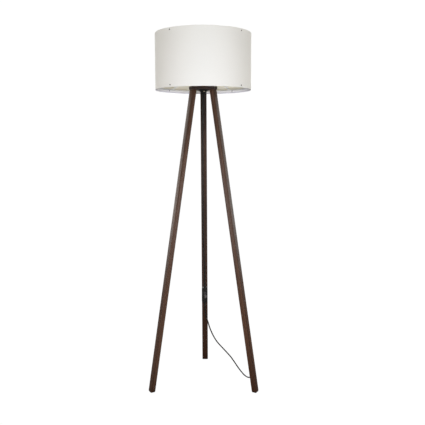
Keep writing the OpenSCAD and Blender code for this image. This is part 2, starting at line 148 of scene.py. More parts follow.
def join(name, objs, angle=None):
    """One object out of several, their materials merged by name."""
    mats, verts, faces, fm = [], [], [], []
    for o in objs:
        base = len(verts)
        idx = []
        for m in o.data.materials:
            if m not in mats:
                mats.append(m)
            idx.append(mats.index(m))
        mw = o.matrix_world
        verts += [tuple(mw @ v.co) for v in o.data.vertices]
        for p in o.data.polygons:
            faces.append([base + i for i in p.vertices])
            fm.append(idx[p.material_index] if idx else 0)
    out = obj_from(name, verts, faces, 32.0 if angle is None else angle, mats, fm)
    for o in objs:
        me = o.data
        bpy.data.objects.remove(o)
        bpy.data.meshes.remove(me)
    return out


def fillet(pts, r, n=4, closed=True):
    """A polyline with rounded corners. r is one radius, or one for each point."""
    out = []
    m = len(pts)
    rs = list(r) if hasattr(r, "__len__") else [r] * m
    for i, p in enumerate(pts):
        p = np.array(p, float)
        if rs[i] <= 0 or (not closed and i in (0, m - 1)):
            out.append(tuple(p))
            continue
        a = np.array(pts[(i - 1) % m], float) - p
        b = np.array(pts[(i + 1) % m], float) - p
        la, lb = np.linalg.norm(a), np.linalg.norm(b)
        a, b = a / la, b / lb
        ang = math.acos(max(-1, min(1, float(a @ b))))
        if ang > PI - 0.02 or ang < 0.02:
            out.append(tuple(p))
            continue
        t = min(rs[i] / math.tan(ang / 2), 0.49 * la, 0.49 * lb)
        rad = t * math.tan(ang / 2)
        bis = (a + b) / np.linalg.norm(a + b)
        c = p + bis * (rad / math.sin(ang / 2))
        v0, v1 = p + a * t - c, p + b * t - c
        sweep = math.acos(max(-1, min(1, float(v0 @ v1) / (rad * rad))))
        for k in range(n + 1):
            s = k / n
            if sweep < 1e-6:
                w = v0
            else:
                w = (math.sin((1 - s) * sweep) * v0 + math.sin(s * sweep) * v1) / math.sin(sweep)
            out.append(tuple(c + w))
    return out


def lathe(name, prof, seg=96, closed=True, mats=None, angle=32.0, fn=None, x=None, y=None, mat_of=None,
          a0=0.0, sweep=2 * PI):
    """Turns a profile of (r, z) or (r, z, weight) about the lamp axis, in metres.
    fn(angle, z) is added to r, times the weight."""
    x = AX if x is None else x
    y = AY if y is None else y
    full = abs(sweep - 2 * PI) < 1e-9
    m = len(prof)
    cols = seg if full else seg + 1
    verts, faces, fm = [], [], []
    for k in range(cols):
        a = a0 + sweep * k / seg
        ca, sa = math.cos(a), math.sin(a)
        for p in prof:
            r = p[0]
            if fn is not None:
                w = p[2] if len(p) > 2 else 1.0
                if w:
                    r += w * fn(a, p[1])
            verts.append((x + r * ca, y + r * sa, p[1]))
    for k in range(seg):
        k2 = (k + 1) % cols
        for i in range(m if closed else m - 1):
            j = (i + 1) % m
            if prof[i][0] < 1e-9 and prof[j][0] < 1e-9:
                continue
            faces.append([k * m + i, k2 * m + i, k2 * m + j, k * m + j])
            fm.append(mat_of(i) if mat_of else 0)
    if not full:
        for k in (0, cols - 1):
            faces.append([k * m + i for i in range(m)])
            fm.append(0)
    return obj_from(name, verts, faces, angle, mats, fm)


def prism(name, outline, z0, z1, bevel=0.0, segs=3, mats=None, angle=32.0, matrix=None):
    """An outline in X and Y raised from z0 to z1, its top and bottom edges bevelled."""
    bm = bmesh.new()
    n = len(outline)
    lo = [bm.verts.new((p[0], p[1], z0)) for p in outline]
    hi = [bm.verts.new((p[0], p[1], z1)) for p in outline]
    bm.faces.new(lo[::-1])
    bm.faces.new(hi)
    for i in range(n):
        bm.faces.new([lo[i], lo[(i + 1) % n], hi[(i + 1) % n], hi[i]])
    bmesh.ops.recalc_face_normals(bm, faces=bm.faces)
    if bevel > 0:
        edges = [e for e in bm.edges if abs(e.verts[0].co.z - e.verts[1].co.z) < 1e-9]
        bmesh.ops.bevel(bm, geom=edges, offset=bevel, segments=segs, profile=0.5, affect="EDGES", clamp_overlap=True)
    me = bpy.data.meshes.new(name)
    bm.to_mesh(me)
    bm.free()
    if matrix is not None:
        me.transform(matrix)
    finish_mesh(me, angle)
    o = link(name, me)
    for m in mats or []:
        me.materials.append(m)
    return o


def rrect(w, h, r, n=6, cx=0.0, cy=0.0):
    return [(cx + x, cy + y) for x, y in fillet([(-w / 2, -h / 2), (w / 2, -h / 2), (w / 2, h / 2), (-w / 2, h / 2)], r, n)]


def loft(name, rings, mats=None, angle=32.0, matrix=None, caps=True):
    n = len(rings[0])
    verts = [v for ring in rings for v in ring]
    faces = []
    for j in range(len(rings) - 1):
        for i in range(n):
            a, b = j * n + i, j * n + (i + 1) % n
            faces.append([a, b, b + n, a + n])
    if caps:
        faces.append(list(range(n))[::-1])
        faces.append([(len(rings) - 1) * n + i for i in range(n)])
    if matrix is not None:
        verts = [tuple(matrix @ Vector(v)) for v in verts]
    return obj_from(name, verts, faces, angle, mats)


def crom(a, b, c, d, t):
    return 0.5 * (2 * b + (c - a) * t + (2 * a - 5 * b + 4 * c - d) * t * t + (3 * b - a - 3 * c + d) * t ** 3)


def smooth_route(route, step):
    p = [np.array(q, float) for q in route]
    out = []
    for i in range(len(p) - 1):
        a, b, c, d = p[max(0, i - 1)], p[i], p[i + 1], p[min(len(p) - 1, i + 2)]
        n = max(1, math.ceil(np.linalg.norm(c - b) / step))
        out += [crom(a, b, c, d, k / n) for k in range(n)]
    out.append(p[-1])
    return out


# ---------------------------------------------------------------- material helpers
class Mat:
    """A small builder for node materials."""

    def __init__(self, name):
        self.m = bpy.data.materials.new(name)
        self.m.use_nodes = True
        self.t = self.m.node_tree
        self.t.nodes.clear()
        self.out = self.t.nodes.new("ShaderNodeOutputMaterial")
        self.b = self.t.nodes.new("ShaderNodeBsdfPrincipled")
        self.t.links.new(self.b.outputs[0], self.out.inputs["Surface"])

    def set(self, **k):
        for name, v in k.items():
            s = self.b.inputs[name.replace("_", " ")]
            if hasattr(s.default_value, "__len__") and len(s.default_value) == 4 and len(v) == 3:
                v = (*v, 1.0)
            s.default_value = v
        return self

    def link(self, a, b):
        self.t.links.new(a, b)

    def coords(self, scale=(1, 1, 1), loc=(0, 0, 0), rot=(0, 0, 0)):
        tc = self.t.nodes.new("ShaderNodeTexCoord")
        mp = self.t.nodes.new("ShaderNodeMapping")
        mp.inputs["Scale"].default_value = scale
        mp.inputs["Location"].default_value = loc
        mp.inputs["Rotation"].default_value = rot
        self.link(tc.outputs["Object"], mp.inputs["Vector"])
        return mp.outputs["Vector"]

    def noise(self, vec, scale, detail=3.0, rough=0.5, distort=0.0):
        n = self.t.nodes.new("ShaderNodeTexNoise")
        n.inputs["Scale"].default_value = scale
        n.inputs["Detail"].default_value = detail
        n.inputs["Roughness"].default_value = rough
        n.inputs["Distortion"].default_value = distort
        self.link(vec, n.inputs["Vector"])
        return n.outputs["Fac"]

    def wave(self, vec, scale, distort=2.0, detail=2.0, dscale=1.0, kind="BANDS", direction="X", profile="SIN"):
        n = self.t.nodes.new("ShaderNodeTexWave")
        n.wave_type = kind
        if kind == "BANDS":
            n.bands_direction = direction
        else:
            n.rings_direction = direction
        n.wave_profile = profile
        n.inputs["Scale"].default_value = scale
        n.inputs["Distortion"].default_value = distort
        n.inputs["Detail"].default_value = detail
        n.inputs["Detail Scale"].default_value = dscale
        self.link(vec, n.inputs["Vector"])
        return n.outputs["Fac"]

    def ramp(self, fac, stops, interp="LINEAR"):
        n = self.t.nodes.new("ShaderNodeValToRGB")
        n.color_ramp.interpolation = interp
        e = n.color_ramp.elements
        while len(e) > 1:
            e.remove(e[-1])
        e[0].position = stops[0][0]
        for p, _ in stops[1:]:
            e.new(p)
        for el, (p, c) in zip(sorted(e, key=lambda q: q.position), stops):
            c = c if hasattr(c, "__len__") else (c, c, c)
            el.color = (*c, 1.0) if len(c) == 3 else c
        self.link(fac, n.inputs["Fac"])
        return n.outputs["Color"]

    def mix(self, fac, a, b, mode="MIX"):
        n = self.t.nodes.new("ShaderNodeMix")
        n.data_type = "RGBA"
        n.blend_type = mode
        n.clamp_factor = True
        for s, v in ((n.inputs[0], fac), (n.inputs[6], a), (n.inputs[7], b)):
            if isinstance(v, bpy.types.NodeSocket):
                self.link(v, s)
            elif hasattr(v, "__len__"):
                s.default_value = (*v, 1.0) if len(v) == 3 else v
            else:
                s.default_value = v
        return n.outputs[2]

    def math(self, op, a, b=0.0, c=0.0, clamp=False):
        n = self.t.nodes.new("ShaderNodeMath")
        n.operation = op
        n.use_clamp = clamp
        for s, v in zip(n.inputs, (a, b, c)):
            if isinstance(v, bpy.types.NodeSocket):
                self.link(v, s)
            else:
                s.default_value = v
        return n.outputs[0]

    def bump(self, height, strength=0.3, distance=0.001, normal=None):
        n = self.t.nodes.new("ShaderNodeBump")
        n.inputs["Strength"].default_value = strength
        n.inputs["Distance"].default_value = distance
        self.link(height, n.inputs["Height"])
        if normal is not None:
            self.link(normal, n.inputs["Normal"])
        return n.outputs["Normal"]

    def color(self, c):
        self.link(c, self.b.inputs["Base Color"])
        return self

    def rough(self, r):
        self.link(r, self.b.inputs["Roughness"])
        return self

    def normal(self, n):
        self.link(n, self.b.inputs["Normal"])
        return self


def remap(m, fac, lo, hi):
    """fac from 0..1 to lo..hi."""
    return m.math("MULTIPLY_ADD", fac, hi - lo, lo)


def walnut(name, seed, dark=(0.032, 0.0138, 0.0080), mid=(0.084, 0.0425, 0.0262), light=(0.138, 0.079, 0.051), long_axis=2,
           rough=(0.36, 0.52), painted_light_by_height=None):
    """Straight-grained oiled walnut. The grain runs along the object's own long axis. An optional list of heights over
    1.25 m, each with a factor on the colour, lightens or darkens the bar along its length: painted light and shade."""
    m = Mat(name)

    def sc(across, along):
        s = [across, across, across]
        s[long_axis] = along
        return tuple(s)

    off = (seed * 1.37, seed * 0.71, seed * 2.13)
    bands = m.noise(m.coords(sc(1, 0.022), off), 120, 3, 0.55, 0.6)
    rings = m.wave(m.coords(sc(1, 0.03), off), 45, 5.0, 3.0, 1.4, direction="X" if long_axis != 0 else "Y")
    fibre = m.noise(m.coords(sc(1, 0.02), off), 1100, 3, 0.6)
    patch = m.noise(m.coords((1, 1, 1), off), 5, 2, 0.5)
    pores = m.noise(m.coords(sc(1, 0.035), off), 2600, 1, 0.5)
    f = m.math("MULTIPLY_ADD", bands, 0.60, m.math("MULTIPLY", rings, 0.16))
    f = m.math("ADD", f, m.math("MULTIPLY", fibre, 0.26))
    f = m.math("ADD", f, m.math("MULTIPLY_ADD", patch, 0.30, -0.15))
    col = m.ramp(f, [(0.30, dark), (0.46, tuple(0.55 * a + 0.45 * b for a, b in zip(dark, mid))), (0.60, mid), (0.80, light)])
    pore = m.ramp(pores, [(0.60, 0.0), (0.68, 1.0)])
    col = m.mix(m.math("MULTIPLY", pore, 0.55), col, tuple(0.45 * c for c in dark))
    if painted_light_by_height:
        # painted light and shade: the colour is multiplied by a factor that changes with height along the bar
        parts = m.t.nodes.new("ShaderNodeSeparateXYZ")
        m.link(m.coords(), parts.inputs[0])
        col = m.mix(1.0, col, m.ramp(m.math("DIVIDE", parts.outputs[2], 1.25, clamp=True), painted_light_by_height), "MULTIPLY")
    m.color(col)
    m.rough(remap(m, m.math("MULTIPLY_ADD", fibre, 0.6, m.math("MULTIPLY", pore, 0.4), clamp=True), *rough))
    h = m.math("SUBTRACT", m.math("MULTIPLY", fibre, 0.35), m.math("MULTIPLY", pore, 0.65))
    m.normal(m.bump(h, 0.35, 0.00025))
    m.set(Specular_IOR_Level=0.25)
    return m.m


def moulded(name, base, rough=(0.32, 0.44), grain=2600, bump=0.10, spec=0.5, coat=0.0, speck=0.06):
    """Injection-moulded plastic: fine texture, slight colour and gloss variation."""
    m = Mat(name)
    v = m.coords()
    fine = m.noise(v, grain, 2, 0.5)
    broad = m.noise(v, 38, 3, 0.5)
    lo = tuple(c * (1 - speck) for c in base)
    hi = tuple(min(1, c * (1 + speck)) for c in base)
    m.color(m.mix(broad, lo, hi))
    m.rough(remap(m, m.math("MULTIPLY_ADD", fine, 0.5, m.math("MULTIPLY", broad, 0.5)), *rough))
    m.normal(m.bump(fine, bump, 0.00012))
    m.set(Specular_IOR_Level=spec)
    if coat:
        m.set(Coat_Weight=coat, Coat_Roughness=0.12)
    return m.m


def metal(name, base, rough=(0.22, 0.38), brushed=None, speck=0.08, bump=0.08):
    m = Mat(name)
    v = m.coords(brushed or (1, 1, 1))
    n = m.noise(v, 900, 3, 0.55)
    wide = m.noise(m.coords(), 90, 3, 0.6)
    m.color(m.mix(wide, tuple(c * (1 - speck) for c in base), tuple(min(1, c * (1 + speck)) for c in base)))
    m.rough(remap(m, m.math("MULTIPLY_ADD", n, 0.5, m.math("MULTIPLY", wide, 0.5)), *rough))
    m.normal(m.bump(n, bump, 0.0001))
    m.set(Metallic=1.0)
    return m.m


def sheet_mat(name, base, tint, rough=(0.50, 0.62)):
    """Matt laminated shade sheet: a faint fibrous face, slightly uneven in colour."""
    m = Mat(name)
    fib_u = m.noise(m.coords((1, 1, 0.12)), 1500, 2, 0.5)
    fib_v = m.noise(m.coords((0.12, 0.12, 1)), 1500, 2, 0.5)
    weave = m.math("MULTIPLY_ADD", fib_u, 0.5, m.math("MULTIPLY", fib_v, 0.5))
    cloud = m.noise(m.coords(), 9, 4, 0.55)
    m.color(m.mix(m.math("MULTIPLY_ADD", cloud, 0.6, m.math("MULTIPLY", weave, 0.4)), base, tint))
    m.rough(remap(m, weave, *rough))
    m.normal(m.bump(weave, 0.12, 0.00012))
    m.set(Specular_IOR_Level=0.35)
    return m.m


def painted(name, base, rough=(0.38, 0.5)):
    """Powder coat: a fine orange peel."""
    m = Mat(name)
    peel = m.noise(m.coords(), 1300, 2, 0.45)
    cloud = m.noise(m.coords(), 22, 3, 0.5)
    m.color(m.mix(cloud, tuple(c * 0.975 for c in base), tuple(min(1, c * 1.01) for c in base)))
    m.rough(remap(m, peel, *rough))
    m.normal(m.bump(peel, 0.16, 0.0002))
    m.set(Specular_IOR_Level=0.5)
    return m.m


def felt_mat(name, base):
    m = Mat(name)
    fuzz = m.noise(m.coords(), 3200, 4, 0.7)
    clump = m.noise(m.coords(), 420, 3, 0.6)
    m.color(m.mix(m.math("MULTIPLY_ADD", fuzz, 0.6, m.math("MULTIPLY", clump, 0.4)), tuple(c * 0.6 for c in base), tuple(c * 1.5 for c in base)))
    m.normal(m.bump(m.math("ADD", fuzz, clump), 0.6, 0.0006))
    m.set(Roughness=0.95, Specular_IOR_Level=0.2, Sheen_Weight=0.25)
    return m.m


# The front legs are painted lighter along their lower part, the right leg most at its foot: painted light.
M_LEG_L = walnut("walnut_leg_left", 1.0, painted_light_by_height=[(0.0, (1.03, 1.0, 1.0)), (0.25, (1.10, 1.08, 1.08)), (0.38, (1.0, 1.0, 1.0))])
M_LEG_R = walnut("walnut_leg_right", 4.3, painted_light_by_height=[(0.0, (1.30, 1.15, 1.06)), (0.28, (1.17, 1.08, 1.0)), (0.50, (1.0, 1.0, 1.0))])
# The rear leg is a darker copy of the walnut for the shade it stands in. It is darker and redder towards its foot and
# darkest at its top under the hub: painted shade and painted shadow.
M_LEG_REAR_PAINTED_SHADE = walnut("walnut_leg_rear", 7.9, dark=(0.030, 0.0145, 0.0095), mid=(0.066, 0.036, 0.025), light=(0.105, 0.064, 0.046),
                 painted_light_by_height=[(0.0, (0.90, 0.70, 0.58)), (0.20, (0.94, 0.82, 0.72)), (0.45, (0.96, 0.94, 0.94)), (0.80, (1.0, 1.0, 1.0)), (0.90, (0.32, 0.32, 0.32))])
M_HUB = walnut("walnut_hub", 2.6, dark=(0.018, 0.0095, 0.0078), mid=(0.040, 0.023, 0.019), light=(0.068, 0.042, 0.035), long_axis=0)
M_FELT = felt_mat("dark_felt", (0.022, 0.019, 0.017))
M_BLACK = moulded("black_moulding", (0.005, 0.005, 0.0055), (0.34, 0.46), spec=0.3)
# The rocker is a lighter black than the housing so that it reads as catching light: painted sheen.
M_ROCKER_PAINTED_SHEEN = moulded("black_rocker", (0.030, 0.030, 0.034), (0.34, 0.44), spec=0.35)
M_SOFT = moulded("soft_black", (0.006, 0.006, 0.006), (0.46, 0.6), grain=1800, bump=0.2, spec=0.25)
M_CORD = moulded("lead_sheath", (0.006, 0.006, 0.006), (0.42, 0.54), grain=1500, bump=0.15, spec=0.22)
M_WHITE = moulded("white_moulding", (0.86, 0.86, 0.84), (0.30, 0.42), speck=0.015)
M_CERAMIC = moulded("core_ceramic", (0.83, 0.81, 0.76), (0.12, 0.25), grain=500, bump=0.06, speck=0.03)
M_BRASS = metal("brass", (0.80, 0.58, 0.27), (0.20, 0.36))
M_ZINC = metal("zinc_steel", (0.66, 0.66, 0.64), (0.26, 0.42))
M_RIVET = metal("rivet_blackened", (0.05, 0.048, 0.046), (0.36, 0.5))
M_NICKEL = metal("nickel", (0.74, 0.72, 0.69), (0.14, 0.26))
M_CAP = metal("bulb_cap_metal", (0.80, 0.79, 0.77), (0.24, 0.4))
M_COAT = painted("white_powder_coat", (0.86, 0.86, 0.84))
M_SHEET = sheet_mat("shade_sheet", (0.80, 0.80, 0.785), (0.83, 0.83, 0.815))
M_LINING = sheet_mat("shade_lining", (0.90, 0.865, 0.765), (0.93, 0.90, 0.80))
# The hem band inside the drum's lower edge is white sheet, painted a darker lavender-grey for the shade it lies in:
# painted shade.
M_HEM_PAINTED_SHADE = sheet_mat("shade_hem", (0.70, 0.69, 0.735), (0.73, 0.72, 0.765))
M_OPAL = moulded("opal_globe", (0.90, 0.90, 0.88), (0.28, 0.36), grain=700, bump=0.04, speck=0.01)
M_LEAD = moulded("lead_insulation", (0.20, 0.12, 0.07), (0.35, 0.45))
M_INSUL = moulded("cap_insulator", (0.015, 0.014, 0.016), (0.1, 0.2), spec=0.6)
M_STRAP = felt_mat("tie_strap", (0.016, 0.016, 0.018))


def place(o, body, *nodes):
    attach(o, body)
    if nodes:
        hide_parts(*nodes)
    return o


# ---------------------------------------------------------------- mains lead
def pt(p):
    return (AX + p[0] * MM, AY + p[1] * MM, p[2] * MM)


UPPER = [[0, 0, 1170], [0, 0, 1160], [0, 0, 1140], [-2, 0, 1060], [-2, 0, 960], [-2, 0, 860],
         [-2, 0, 760], [-2, 0, 660], [0, 0, 560], [3, 0, 470], [3.5, 0, 440], [3.5, 0, 430], [3.5, 0, 419.5]]
LOWER = [[3.5, 0, 317.5], [4.5, 0, 300], [8, 0, 280], [16, 0, 254], [29, 0, 214], [52, 0, 170],
         [89, 0, 127], [110, 0, 103], [127, 0, 79], [142, 0, 56], [157, 1, 35], [171, 3.5, 18],
         [183, 7, 8.2], [192, 11.5, 4.6], [199, 19, 3.7]]
CORD_D = 5.0

# The hank: turns one beside the other in upright planes, pinched in the middle by the tie.
# One turn, in its own plane as (along, up) from the middle of its lower run:
# lower run, far fold, upper run down to the pinch and up again, near fold.
FOLD, REACH, DIP, LOW = 15.0, 42.4, 20.0, 3.6
LEAN = math.radians(40)
PINCH = LOW + 5.1


def turn_outline():
    """Points at about 4 mm along one turn, from the near end of the lower run."""
    out = [(-REACH + 2 * REACH * k / 18, LOW) for k in range(18)]
    sweep = PI + LEAN
    n = 14
    for k in range(n):
        a = -PI / 2 + sweep * k / n
        out.append((REACH + FOLD * math.cos(a), LOW + FOLD + FOLD * math.sin(a)))
    # down the slope to the bend over the pinch
    ax, az = REACH - FOLD * math.sin(LEAN), LOW + FOLD + FOLD * math.cos(LEAN)
    bx, bz = DIP * math.sin(LEAN), PINCH + DIP * (1 - math.cos(LEAN))
    for k in range(7):
        out.append((ax + (bx - ax) * k / 7, az + (bz - az) * k / 7))
    for k in range(9):
        a = LEAN - 2 * LEAN * k / 9
        out.append((DIP * math.sin(a), PINCH + DIP * (1 - math.cos(a))))
    for k in range(7):
        out.append((-bx + (bx - ax) * k / 7, bz + (az - bz) * k / 7))
    for k in range(n):
        a = PI / 2 - LEAN + sweep * k / n
        out.append((-REACH + FOLD * math.cos(a), LOW + FOLD + FOLD * math.sin(a)))
    return out


HANK_MID, HANK_X0 = 74.0, 203.1
one = turn_outline()
hank = []
for k in range(2):
    for i, (u, w) in enumerate(one):
        f = k + i / len(one)
        hank.append([HANK_X0 + 5.08 * f + 0.12 * math.sin(7 * f), HANK_MID + u, w])
hank += [[HANK_X0 + 5.08 * (2 + 0.3 * q), HANK_MID - REACH + 2 * REACH * q, LOW] for q in (0, 0.15, 0.3, 0.45, 0.6, 0.75, 0.9, 1.0)]
TAIL = [[214.9, 122, 4.0], [214.7, 128, 5.1], [214.1, 136, 7.8], [212.6, 146, 12.2], [210.6, 154, 15.6], [209.2, 160, 17.2],
        [209, 165, 17.5], [209, 169, 17.5]]


def cord_curve(name, pts, material):
    cu = bpy.data.curves.new(name, "CURVE")
    cu.dimensions = "3D"
    cu.bevel_depth = CORD_D * MM / 2
    cu.bevel_resolution = 5
    cu.use_fill_caps = True
    sp = cu.splines.new("POLY")
    sp.points.add(len(pts) - 1)
    for q, p in zip(sp.points, pts):
        q.co = (*pt(p), 1.0)
    sp.use_smooth = True
    o = link(name, cu)
    cu.materials.append(material)
    return o


upper_pts = smooth_route([[0, 0, 1174]] + UPPER[1:-1] + [[3.5, 0, 415]], 8)
lower_ctrl = [[3.5, 0, 322]] + LOWER[1:] + [[202.1, 25, 3.6]] + hank + TAIL
lower_pts = smooth_route(lower_ctrl, 4)
cord_a = cord_curve("lead_upper", upper_pts, M_CORD)
cord_b = cord_curve("lead_lower", lower_pts, M_CORD)
place(cord_a, "stand", "cord_upper")
place(cord_b, "stand", "cord_lower", "cord_hank", "cord_tail")

# ---------------------------------------------------------------- legs
SLOPE = (FOOT_R - LEG_TOP_R) / HUB_Z0
TILT = math.atan(SLOPE)


def leg(name, turn, material, node, seed):
    """A bar with eased edges, cut level at both ends, its own Z along its length."""
    cr, sr = math.cos(turn), math.sin(turn)
    rad, tan = Vector((cr, sr, 0)), Vector((-sr, cr, 0))
    d = (Vector((0, 0, 1)) * math.cos(TILT) - rad * math.sin(TILT)).normalized()
    nrm = tan.cross(d).normalized()
    if nrm.dot(rad) < 0:
        nrm = -nrm
    base = Vector((AX, AY, 0)) + rad * FOOT_R
    z0, z1 = PAD_T, HUB_Z0
    levels = [(z0, 0.0012), (z0 + 0.0004, 0.0005), (z0 + 0.0012, 0.0)]
    levels += [(z0 + 0.0012 + (z1 - z0 - 0.0024) * k / 48, 0.0) for k in range(1, 48)]
    levels += [(z1 - 0.0012, 0.0), (z1 - 0.0004, 0.0005), (z1, 0.0012)]
    verts = []
    rng = np.random.RandomState(seed)
    amp, ph = rng.uniform(0.00005, 0.00012, 4), rng.uniform(0, 6.28, 4)
    for z, inset in levels:
        sec = rrect(LEG_T - 2 * inset, LEG_W - 2 * inset, 0.0015 - inset * 0.5, 4)
        wob_n = amp[0] * math.sin(5.1 * z + ph[0]) if z0 + 0.01 < z < z1 - 0.01 else 0.0
        for u, v in sec:
            p = base + nrm * (u + wob_n) + tan * v
            s = (z - p.z) / d.z
            verts.append(p + d * s)
    n = len(sec)
    local = Matrix((nrm, tan, d)).transposed().to_4x4()
    local.translation = base
    inv = local.inverted()
    verts = [inv @ v for v in verts]
    faces = []
    for j in range(len(levels) - 1):
        for i in range(n):
            a, b = j * n + i, j * n + (i + 1) % n
            faces.append([a, b, b + n, a + n])
    faces.append(list(range(n))[::-1])
    faces.append([(len(levels) - 1) * n + i for i in range(n)])
    o = obj_from(name, verts, faces, 40, [material])
    o.matrix_world = local
    return place(o, "stand", node)


leg("leg_bar_left", math.radians(210), M_LEG_L, "leg_front_left", 1)
leg("leg_bar_right", math.radians(330), M_LEG_R, "leg_front_right", 2)
leg("leg_bar_rear", math.radians(90), M_LEG_REAR_PAINTED_SHADE, "leg_rear", 3)

pads = []
for turn in (90, 210, 330):
    t = math.radians(turn)
    r = FOOT_R - SLOPE * PAD_T
    m4 = Matrix.Translation((AX + r * math.cos(t), AY + r * math.sin(t), 0)) @ Matrix.Rotation(t, 4, "Z")
    pads.append(prism("pad", rrect(LEG_T - 0.001, LEG_W - 0.0015, 0.002, 5), 0.0, PAD_T, 0.0004, 2, [M_FELT], matrix=m4))
place(join("felt_pads", pads), "stand", "foot_pads")

# ---------------------------------------------------------------- hub
hub_out = []
for k in range(3):
    a = PI / 2 + k * 2 * PI / 3
    for s in (-1, 1):
        hub_out.append((0.0575 * math.cos(a) - s * 0.0135 * math.sin(a), 0.0575 * math.sin(a) + s * 0.0135 * math.cos(a)))
hub = prism("hub_block", fillet(hub_out, 0.003, 6), HUB_Z0, HUB_Z1, 0.0009, 3, [M_HUB], matrix=Matrix.Translation((AX, AY, 0)))
cutters = []
for turn in (90, 210, 330):
    t = math.radians(turn)
    for s in (-1, 1):
        x = AX + 0.0475 * math.cos(t) - s * 0.006 * math.sin(t)
        y = AY + 0.0475 * math.sin(t) + s * 0.006 * math.cos(t)
        cutters.append(lathe("c", [(0, HUB_Z1 - 0.0022), (0.0044, HUB_Z1 - 0.0022), (0.0044, HUB_Z1 - 0.0004), (0.005, HUB_Z1 + 0.0004), (0.005, HUB_Z1 + 0.002), (0, HUB_Z1 + 0.002)], 32, x=x, y=y))
cutters.append(lathe("c", [(0, HUB_Z0 - 0.002), (0.0051, HUB_Z0 - 0.002), (0.0051, HUB_Z1 + 0.002), (0, HUB_Z1 + 0.002)], 40))
cut(hub, *cutters)
place(hub, "stand", "hub_plate")

# ---------------------------------------------------------------- gland
GZ = HUB_Z0
flare = [(17.2, -2.6), (15.9, -3.5), (14.4, -5.0), (12.9, -7.0), (11.5, -9.2), (10.6, -10.6)]
prof = [(5.2, -0.02), (20, -0.02), (20, -1.5), (19.3, -2.1)] + flare + [(10.4, -11.4), (9.9, -12), (5.2, -12)]
prof = fillet([(r * MM, GZ + z * MM) for r, z in prof], [0, 0.0004, 0.0005, 0.0003] + [0.002] * 6 + [0.0004, 0.0004, 0], 3)
gland = lathe("gland_flare", prof, 96, mats=[M_BLACK])
place(gland, "stand", "cable_gland")

# tapered sleeve with moulded rings
z_top, z_bot = GZ - 0.012, 1.170
prof = [(0.0026, z_top), (0.0068, z_top)]
n = 7
for k in range(n):
    za = z_top - 0.0015 - (z_top - z_bot - 0.004) * k / n
    zb = z_top - 0.0015 - (z_top - z_bot - 0.004) * (k + 1) / n
    ra = 0.0067 - 0.0030 * ((k + 0.2) / n) ** 0.8
    prof += [(ra, za), (ra - 0.0001, za - (za - zb) * 0.62), (ra - 0.0009, za - (za - zb) * 0.70), (ra - 0.0009, za - (za - zb) * 0.92)]
prof += [(0.0034, z_bot + 0.0018), (0.0033, z_bot), (0.0026, z_bot)]
sleeve = lathe("gland_sleeve", fillet(prof, 0.0002, 2), 48, mats=[M_SOFT])
place(sleeve, "stand", "gland_strain_relief")

# ---------------------------------------------------------------- lampholder
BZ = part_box("lampholder_base")[0].z
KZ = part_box("lampholder_skirt")[0].z
K1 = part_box("lampholder_skirt")[1].z
prof = [(5.1, 0), (12, 0), (17.2, 2.0), (19.7, 6.5), (20, 10), (20, 16.5), (17.3, 16.5), (17.3, 8.5), (14, 3.4), (5.1, 2.6)]
base = lathe("holder_dome", fillet([(r * MM, BZ + z * MM) for r, z in prof], [0, .003, .003, .003, .002, .0004, .0004, .002, .002, 0], 4), 96, mats=[M_WHITE],
             fn=lambda a, z: -0.0005 * max(0.0, math.cos(a * 24)) ** 6 if z - BZ > 0.009 else 0.0)
place(base, "stand", "lampholder_base")

R_SK = 0.0195
PITCH = 0.0025


def thread(r0, depth, z0, z1, pitch, crest=0.5):
    """A thread's depth below its crest at an angle and height."""
    def f(a, z):
        if z < z0 or z > z1:
            return 0.0
        ph = ((z - z0) / pitch - a / (2 * PI)) % 1.0
        tri = abs(2 * ph - 1)
        fade = min(1.0, (z - z0) / pitch, (z1 - z) / pitch)
        return -depth * fade * min(1.0, max(0.0, (tri - (1 - crest)) / crest) * 1.4)
    return f


zs = list(np.linspace(KZ + 0.0215, K1 - 0.0008, 190))
prof = [(0.0172, KZ + 0.0002, 0), (0.0193, KZ + 0.0002, 0), (R_SK, KZ + 0.0005, 0), (R_SK, KZ + 0.0156, 0), (0.0199, KZ + 0.016, 0), (0.0242, KZ + 0.016, 0), (0.0245, KZ + 0.0163, 0),
        (0.0245, KZ + 0.0182, 0), (0.0242, KZ + 0.0185, 0), (0.0198, KZ + 0.0185, 0), (R_SK, KZ + 0.0188, 0)]
prof += [(R_SK, z, 1) for z in zs]
prof += [(0.0192, K1 - 0.0002, 0), (0.0189, K1, 0), (0.0176, K1, 0), (0.0173, K1 - 0.0004, 0)]
skirt = lathe("holder_skirt", prof, 96, mats=[M_WHITE], fn=thread(R_SK, 0.0008, KZ + 0.0225, K1 - 0.0015, PITCH))
place(skirt, "stand", "lampholder_skirt")

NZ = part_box("shade_nut")[0].z
R_NUT = 0.028


def grips(a, z):
    return -0.0014 * max(0.0, math.cos(18 * a)) ** 3


prof = [(0.0197, NZ, 0), (0.0272, NZ, 0.7), (0.0280, NZ + 0.0008, 1), (0.0280, NZ + 0.0055, 1), (0.0276, NZ + 0.0062, 0.9), (0.0270, NZ + 0.0065, 0.6), (0.0230, NZ + 0.0065, 0), (0.0225, NZ + 0.0068, 0),
        (0.0225, NZ + 0.0086, 0), (0.0221, NZ + 0.009, 0), (0.0200, NZ + 0.009, 0), (0.0197, NZ + 0.0087, 0)]
nut = lathe("nut_ring", prof, 216, mats=[M_WHITE], fn=grips)
place(nut, "shade_nut", "shade_nut")

